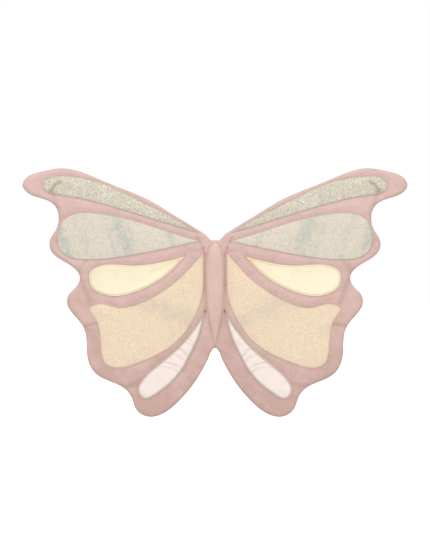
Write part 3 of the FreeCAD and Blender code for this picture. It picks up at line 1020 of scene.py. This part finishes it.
def satin_wrinkles(points):
    """Soft wrinkles across the satin's narrow upper half, each a ridge with a hollow below."""
    start = np.array([22.0, -34.0]) * MM
    reach = (points - start) @ np.array([0.2, -0.98])
    aside = (points - start) @ np.array([0.98, 0.2]) - 0.55 * reach
    total = np.zeros(len(points))
    for place, depth, lean in WRINKLES:
        bent = (reach - place * MM + lean * aside - 12 * aside**2) / MM
        total += depth * (bell(bent, 1.8) - 0.8 * bell(bent - 3.0, 2.0))
    return total * MM


def panel_relief(name, points, loop):
    """How thick each kind of panel stands, with its rolled rim and the dip along its stitching."""
    edge = distance(points, loop)
    if name == "gold_foil":
        rim = round_over(edge, 1.1 * MM)
        return 0.25 * MM + 0.85 * MM * rim - 0.45 * MM * bell(edge - FOIL_INSET, 0.55 * MM)
    if name == "pink_satin":
        rim, dip = bell(edge - 0.7 * MM, 0.7 * MM), bell(edge - SATIN_INSET, 0.6 * MM)
        fade = rise(edge, SATIN_INSET, 2 * MM)
        height = 0.7 * MM + 0.3 * MM * rim - 0.4 * MM * dip + fade * satin_wrinkles(points)
        return np.maximum(height, 0.15 * MM)
    return PANEL_LIFT - 0.18 * MM * bell(edge - GLITTER_INSET, 0.5 * MM)


GRID_SIZES = {
    "silver_glitter": (190, 26), "iridescent_glitter": (170, 44), "gold_foil": (150, 44),
    "champagne_glitter": (150, 80), "pink_satin": (150, 40),
}  # fmt: skip


def panel_shape(name):
    loop = panel_loops[name]
    grid = panel_grid(loop, *GRID_SIZES[name])
    points = grid.reshape(-1, 2)
    base = front_height(points)
    top = base + panel_relief(name, points, loop)
    # The edge mark places each panel's lines and their painted shadow; the fold depth places
    # painted shade in the folds.
    marks = {"edge": distance(points, loop) / MM, "crease": np.clip(fold_lines(points) / MM, 0, 2)}
    if name == "pink_satin":
        # For the satin the fold mark is the depth of its wrinkle hollows, for painted shade.
        marks["crease"] = np.clip(-2.5 * satin_wrinkles(points) / MM, 0, 1)
    return grid, lifted(grid, top), lifted(grid, base - 0.15 * MM), marks


panel_shapes = {name: panel_shape(name) for name in PANELS}


def sewn_panel(label, side, name):
    grid, top, bottom, marks = panel_shapes[name]
    top, bottom = mirrored(top, side), mirrored(bottom, side)
    piece = shell(f"{label}_{name}_cloth", top, bottom, PANEL_CLOTH[name], marks)
    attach(piece, f"{label}_wing")
    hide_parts(f"{label}_{name}_panel")
    flat = cut_size(grid, grid[-1, 0] - grid[0, 0])
    flat_area(grid)


def inset_line(loop, inset):
    """A closed line inside a loop at an inset, starting near the loop's sharpest corner."""
    first, _ = sides_of(loop)
    loop = turned_to(loop, int(np.hypot(*(loop[:-1] - first[0]).T).argmin()))
    line = spaced(loop, np.linspace(0, 1, 700))
    ahead = np.roll(line[:-1], -3, axis=0) - np.roll(line[:-1], 3, axis=0)
    ahead /= np.linalg.norm(ahead, axis=1, keepdims=True)
    moved = line[:-1] + inset * np.stack([ahead[:, 1], -ahead[:, 0]], axis=-1)
    kept = moved[distance(moved, loop) > inset * 0.97]
    return np.concatenate([kept, kept[:1]])


def run_of_stitches(line, length, gap):
    """The starts and ends of a row of straight stitches along a closed line."""
    total = along(line)[-1]
    count = int(total / (length + gap))
    starts = np.arange(count) * total / count
    return at(line, starts), at(line, starts + total / count - gap)


def zigzag(loop, near, far, pitch):
    """The starts and ends of a zigzag between two insets of a loop."""
    inside, outside = inset_line(loop, far), inset_line(loop, near)
    count = int(along(outside)[-1] / pitch)
    step = np.arange(2 * count + 1)
    share = step / (2 * count)
    both = np.where(step[:, None] % 2 == 0, spaced(outside, share), spaced(inside, share))
    return both[:-1], both[1:]


# Stitches on each kind of panel: inset, length, gap, height, radius and colour.
FOIL_STITCHES = (FOIL_INSET, 2.4 * MM, 0.7 * MM, 0.72 * MM, 0.21 * MM, PALE_THREAD)
SATIN_STITCHES = (SATIN_INSET, 2.2 * MM, 0.6 * MM, 0.3 * MM, 0.2 * MM, GREY_THREAD)
GLITTER_STITCHES = (GLITTER_INSET, 1.9 * MM, 0.5 * MM, 0.36 * MM, 0.13 * MM, GREY_THREAD)
PANEL_STITCHES = {"gold_foil": FOIL_STITCHES, "pink_satin": SATIN_STITCHES}


def edge_stitches(label, side, name):
    """The stitching that holds one panel down, with a zigzag over the satin's edge."""
    loop = panel_loops[name]
    inset, length, gap, lift, radius, colour = PANEL_STITCHES.get(name, GLITTER_STITCHES)
    starts, ends = run_of_stitches(inset_line(loop, inset), length, gap)
    if name == "pink_satin":
        zig, zag = zigzag(loop, 0.15 * MM, 1.9 * MM, 1.3 * MM)
        starts, ends = np.concatenate([starts, zig]), np.concatenate([ends, zag])
        lift = np.where(distance(starts, loop) < 2.1 * MM, 0.9 * MM, lift)
    first, last = (mirrored(on_front(line, lift), side) for line in (starts, ends))
    piece = threads(f"{label}_{name}_stitching", first, last, radius, colour)
    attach(piece, f"{label}_wing")


def fold_seam(label, side):
    """The row of small stitches beside the body where the wing folds."""
    z = np.arange(UPPER_TACK_Z - 12 * MM, LOWER_TACK_Z, -2.4 * MM)
    line = np.stack([np.full(len(z), FOLD_X), z], axis=-1)
    starts = mirrored(on_front(line, 0.1 * MM), side)
    ends = mirrored(on_front(line - [0, 1.7 * MM], 0.1 * MM), side)
    piece = threads(f"{label}_fold_stitching", starts, ends, FINE_THREAD, PINK_THREAD)
    fold(piece, side)


# ---------------------------------------------------------------- body, middle wadding, tape, tacks

LEAF = [
    (0, 1), (0.17, 0.977), (0.31, 0.935), (0.57, 0.862), (0.77, 0.782), (0.91, 0.66), (0.985, 0.5),
    (1, 0.3), (0.95, 0), (0.81, -0.33), (0.6, -0.54), (0.34, -0.73), (0, -1),
]  # fmt: skip
body_low, body_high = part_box("body_cover")
BODY_HALF = body_high.x
BODY_MIDDLE_Z = (body_low.z + body_high.z) / 2
BODY_REACH = (body_high.z - body_low.z) / 2
BODY_DEPTH = 11.5 * MM


def body_outline(count):
    """Half widths of the stuffed body at heights from its lower point to its upper point."""
    curve = smooth(np.array(LEAF) * [BODY_HALF, BODY_REACH], 200)[::-1]
    z = BODY_REACH * -np.cos(np.linspace(0, np.pi, count))
    return np.maximum(np.interp(z, curve[:, 1], curve[:, 0]), 0.25 * MM), z + BODY_MIDDLE_Z


def stuffed_body():
    """A leaf-shaped cushion of rings up its height, each rounded in front and flat behind.

    A ring's place at turn t is the half width times cos t across and, in front, the local depth
    times the 0.8 power of sin t. The local depth is the full depth times the 0.62 power of the
    half width's share, and gathers at both points pull it in.
    """
    rows, turns = 220, 96
    half, z = body_outline(rows)
    t = np.linspace(0, 2 * np.pi, turns, endpoint=False)[None]
    half, level = half[:, None], z[:, None]
    share = np.clip(half / BODY_HALF, 0, 1)
    depth = BODY_DEPTH * share**0.62
    near_end = bell(BODY_REACH - abs(level - BODY_MIDDLE_Z), 11 * MM)
    gathers = 1 - 0.1 * near_end * np.sin(7 * t) ** 2
    front = np.clip(np.sin(t), 0, None) ** 0.8 * depth * gathers
    behind = np.clip(-np.sin(t), 0, None) ** 0.6 * 0.5 * MM
    soft = 0.35 * MM * np.sin(level * 2 * np.pi / (47 * MM) + 1.0) * share
    x = half * np.cos(t) * (1 - 0.02 * near_end)
    y = FACE_Y + 0.55 * MM - front + behind - soft * (np.sin(t) > 0) * np.clip(np.sin(t), 0, 1)
    places = np.stack([x, y, np.broadcast_to(level, x.shape)], axis=-1)
    # The edge mark is the body's height above the face, so the velvet shader paints shade where its
    # sides come down to the velvet.
    edge = (FACE_Y - y).ravel() / MM * 0.9 + 0.6
    marks = {"edge": edge, "beside": np.full(y.size, 9.0), "crease": np.zeros(y.size)}
    piece = tube_grid("stuffed_body", places, BODY_VELVET, marks)
    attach(piece, "centre")
    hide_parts("body_cover", "body_filling")


def body_stitches():
    """Slip stitches round the body where its edge is sewn to the velvet."""
    half, z = body_outline(400)
    right = np.stack([half, z], axis=-1)
    loop = np.concatenate([right, (right * [-1, 1])[::-1][1:]])
    starts, ends = run_of_stitches(loop, 1.5 * MM, 0.9 * MM)
    y = FACE_Y - 0.1 * MM
    starts, ends = (np.insert(line, 1, y, axis=1) for line in (starts, ends))
    piece = threads("body_stitching", starts, ends, 0.2 * MM, PINK_THREAD)
    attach(piece, "centre")


def middle_wadding():
    """The strip of wadding between the two folds, rounded off at its edge."""
    low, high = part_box("centre_wadding")
    v, u = grid_shares(60, 24, -1)
    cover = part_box("body_cover")
    x = u * ((high.x - low.x) / 2 - 4 * MM)
    z = (cover[0].z + cover[1].z) / 2 + v * ((cover[1].z - cover[0].z) / 2 - 8 * MM)
    middle, reach = (low.y + high.y) / 2, (high.y - low.y) / 2
    thick = (reach * 0.85) * ((1 - u**6) * (1 - v**8)) ** 0.5 + 0.05 * MM
    front, back = (np.stack([x, y, z], -1) for y in (middle - thick, middle + thick))
    piece = shell("middle_filling", front, back, WADDING)
    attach(piece, "centre")
    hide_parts("centre_wadding")


def back_tape():
    """The woven tape over the middle of the back, its long edges a little rounded and cockled."""
    low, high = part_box("spine_tape")
    v, u = np.meshgrid(np.linspace(0, 1, 260), np.linspace(-1, 1, 26), indexing="ij")
    x = u * (high.x - low.x) / 2 * (1 + 0.004 * np.sin(v * 2 * np.pi * 23))
    z = low.z + v * (high.z - low.z)
    edge = 1 - 0.35 * u**10
    out = high.y - 0.12 * MM * (1 - edge) * 3 - 0.06 * MM * (1 + np.sin(v * 2 * np.pi * 9 + 2 * u))
    inside = np.full_like(x, low.y + 0.05 * MM)
    piece = shell("back_tape", np.stack([x, inside, z], -1), np.stack([x, out, z], -1), TAPE)
    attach(piece, "centre")
    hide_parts("spine_tape")


def tape_stitches():
    """Two rows of stitches along the tape."""
    low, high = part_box("spine_tape")
    z = np.arange(low.z + 3 * MM, high.z - 5 * MM, 3.2 * MM)
    x = high.x - 1.6 * MM
    starts = np.array([(side * x, high.y + 0.02 * MM, level) for side in (-1, 1) for level in z])
    ends = starts + [0, 0, 2.4 * MM]
    piece = threads("tape_stitching", starts, ends, FINE_THREAD, PINK_THREAD, -STITCH_BOW)
    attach(piece, "centre")


TACK_TURNS = 16


def bar_tacks(name, places, y, width, length, colour, node, bow=STITCH_BOW):
    """Dense zigzags of thread, one over each place."""
    k = np.arange(TACK_TURNS + 1)
    across, up = np.where(k % 2, 0.5, -0.5) * width, (k / TACK_TURNS - 0.5) * length
    zig = np.stack([across, np.zeros(len(k)), up], axis=-1)
    line = np.array([(x, y, z) for x, z in places])[:, None] + zig[None]
    starts, ends = line[:, :-1].reshape(-1, 3), line[:, 1:].reshape(-1, 3)
    piece = threads(name, starts, ends, 0.24 * MM, colour, bow)
    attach(piece, "centre")
    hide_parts(node)


# ---------------------------------------------------------------- the arm loops

LOOP = [
    (0, 51), (21, 62), (55, 68), (90, 50), (109.4, 12),
    (103, -30), (78, -60), (43, -69), (16, -61), (0, -51),
]  # fmt: skip
STRAP_WIDE = 8 * MM
STRAP_THICK = 1.2 * MM
STRAP_SPLAY = math.radians(15)
STRAP_RINGS, STRAP_SIDES = 360, 28


def arm_loop(label, side):
    """A ribbed elastic band: a place is the path, plus a share of the width across it.

    The loop lies in an upright plane turned outwards from straight back, and its ends turn flat
    under the back tacks.
    """
    pivot = joints[f"{label}_strap_swing"]["pos_m"]
    low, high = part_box(f"{label}_shoulder_strap")
    path = smooth(np.array(LOOP) * MM, STRAP_RINGS)
    reach, rise = path[:, 0], path[:, 1] + (low.z + high.z) / 2
    splay = STRAP_SPLAY * side
    ahead = np.gradient(path, axis=0)
    ahead /= np.linalg.norm(ahead, axis=1, keepdims=True)
    normal = np.stack([ahead[:, 1], -ahead[:, 0]], axis=-1)
    t = np.arange(STRAP_SIDES) * 2 * np.pi / STRAP_SIDES
    wide = np.sign(np.cos(t)) * abs(np.cos(t)) ** 0.28 * STRAP_WIDE / 2
    thick = np.sign(np.sin(t)) * abs(np.sin(t)) ** 0.5 * STRAP_THICK / 2
    out = reach[:, None] + normal[:, :1] * thick[None]
    z = rise[:, None] + normal[:, 1:] * thick[None]
    x = pivot[0] + out * math.sin(splay) + wide[None] * math.cos(splay)
    y = pivot[1] + STRAP_THICK / 2 + out * math.cos(splay) - wide[None] * math.sin(splay)
    places = np.stack([x, np.maximum(y, pivot[1] - 0.1 * MM), z], axis=-1)
    piece = tube_grid(f"{label}_arm_loop", places, ELASTIC)
    start = (pivot[0], pivot[1] - 1 * MM, pivot[2])
    pivot[1] + 11 * MM
    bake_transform(piece)
    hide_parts(f"{label}_shoulder_strap")


for label, side in SIDES.items():
    wing_velvet(label, side)
    wing_lining(label, side)
    wing_wadding(label, side)
    fold_seam(label, side)
    arm_loop(label, side)
    for name in PANELS:
        sewn_panel(label, side, name)
        edge_stitches(label, side, name)
    frame["nodes"][f"{label}_wing_edge_wire"].data.materials.append(WIRE)

stuffed_body()
body_stitches()
middle_wadding()
back_tape()
tape_stitches()

tack_y = FACE_Y - 0.25 * MM
places = [(side * 15 * MM, LOWER_TACK_Z) for side in (-1, 1)]
size = (2.0 * MM, 3.6 * MM)
bar_tacks("lower_front_tacks", places, tack_y, *size, DARK_THREAD, "front_tacks")
places = [(side * 8 * MM, UPPER_TACK_Z) for side in (-1, 1)]
size = (3.0 * MM, 2.4 * MM)
bar_tacks("upper_front_tacks", places, tack_y, *size, LIGHT_THREAD, "front_tacks")
back_low, back_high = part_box("back_tacks")
tack_y = back_high.y + 1.0 * MM
loops_x = [joints[f"{label}_strap_swing"]["pos_m"][0] for label in SIDES]
back_z = (back_high.z - TACK_LENGTH / 2, back_low.z + TACK_LENGTH / 2)
places = [(x, z) for x in loops_x for z in back_z]
size = (5.5 * MM, 4.0 * MM)
bar_tacks("back_bar_tacks", places, tack_y, *size, PINK_THREAD, "back_tacks", -STITCH_BOW)

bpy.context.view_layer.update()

# ---------------------------------------------------------------- floor, light and camera


FLOOR_GLOW = 0.72
FLOOR_Z = -0.62
FLOOR_REACH = 40.0
FLOOR_THICKNESS = 0.04
# Each lamp's place, width in metres and power in watts.
LAMPS = {
    "soft_top": ((-0.35, -1.1, 2.1), 1.6, 20),
    "fill": ((0.8, -2.4, 0.0), 2.0, 7.5),
    "from_behind": ((0.8, 2.2, 1.3), 1.6, 16),
}
WORLD_LIGHT = 0.77
CAMERA_PLACE = (0.0, -3.5, 0.0304)
CAMERA_LENS = 147.0
CAMERA_SENSOR = 36.0


def pale_floor():
    """A plain white that glows a little, so that it stays even to the horizon."""
    paint = Paint("pale_floor")
    shade = paint.mix(paint.noise(40.0) * 0.1, (1.0, 1.0, 1.0), tone(246, 246, 246))
    return paint.finish(
        Base_Color=shade, Roughness=0.9,
        Emission_Color=(1.0, 1.0, 1.0), Emission_Strength=FLOOR_GLOW,
    )  # fmt: skip


corners = np.array([[(-1, -1), (1, -1)], [(-1, 1), (1, 1)]]) * FLOOR_REACH
floor_top, floor_under = (
    np.insert(corners, 2, level, axis=2) for level in (FLOOR_Z, FLOOR_Z - FLOOR_THICKNESS)
)
floor = shell("floor", floor_top, floor_under, pale_floor())
floor.visible_diffuse = False

for name, (place, width, power) in LAMPS.items():
    lamp = bpy.data.lights.new(name, "AREA")
    lamp.shape = "DISK"
    lamp.size = width
    lamp.energy = power
    holder = bpy.data.objects.new(name, lamp)
    bpy.context.scene.collection.objects.link(holder)
    holder.location = place
    holder.rotation_euler = (-Vector(place)).to_track_quat("-Z", "Y").to_euler()

world = bpy.data.worlds.new("studio")
world.use_nodes = True
nodes, links = world.node_tree.nodes, world.node_tree.links
nodes.clear()
seen = nodes.new("ShaderNodeLightPath")
strength = nodes.new("ShaderNodeMapRange")
strength.inputs["To Min"].default_value = WORLD_LIGHT
strength.inputs["To Max"].default_value = 1.0
sky = nodes.new("ShaderNodeBackground")
sky.inputs["Color"].default_value = (1.0, 1.0, 1.0, 1.0)
sky_out = nodes.new("ShaderNodeOutputWorld")
links.new(seen.outputs["Is Camera Ray"], strength.inputs["Value"])
links.new(strength.outputs["Result"], sky.inputs["Strength"])
links.new(sky.outputs["Background"], sky_out.inputs["Surface"])
bpy.context.scene.world = world
bpy.context.scene.view_settings.view_transform = "Standard"

camera = bpy.data.objects.new("camera", bpy.data.cameras.new("camera"))
bpy.context.scene.collection.objects.link(camera)
camera.location = CAMERA_PLACE
camera.rotation_euler = (math.pi / 2, 0, 0)
camera.data.lens = CAMERA_LENS
camera.data.sensor_width = CAMERA_SENSOR
bpy.context.scene.camera = camera
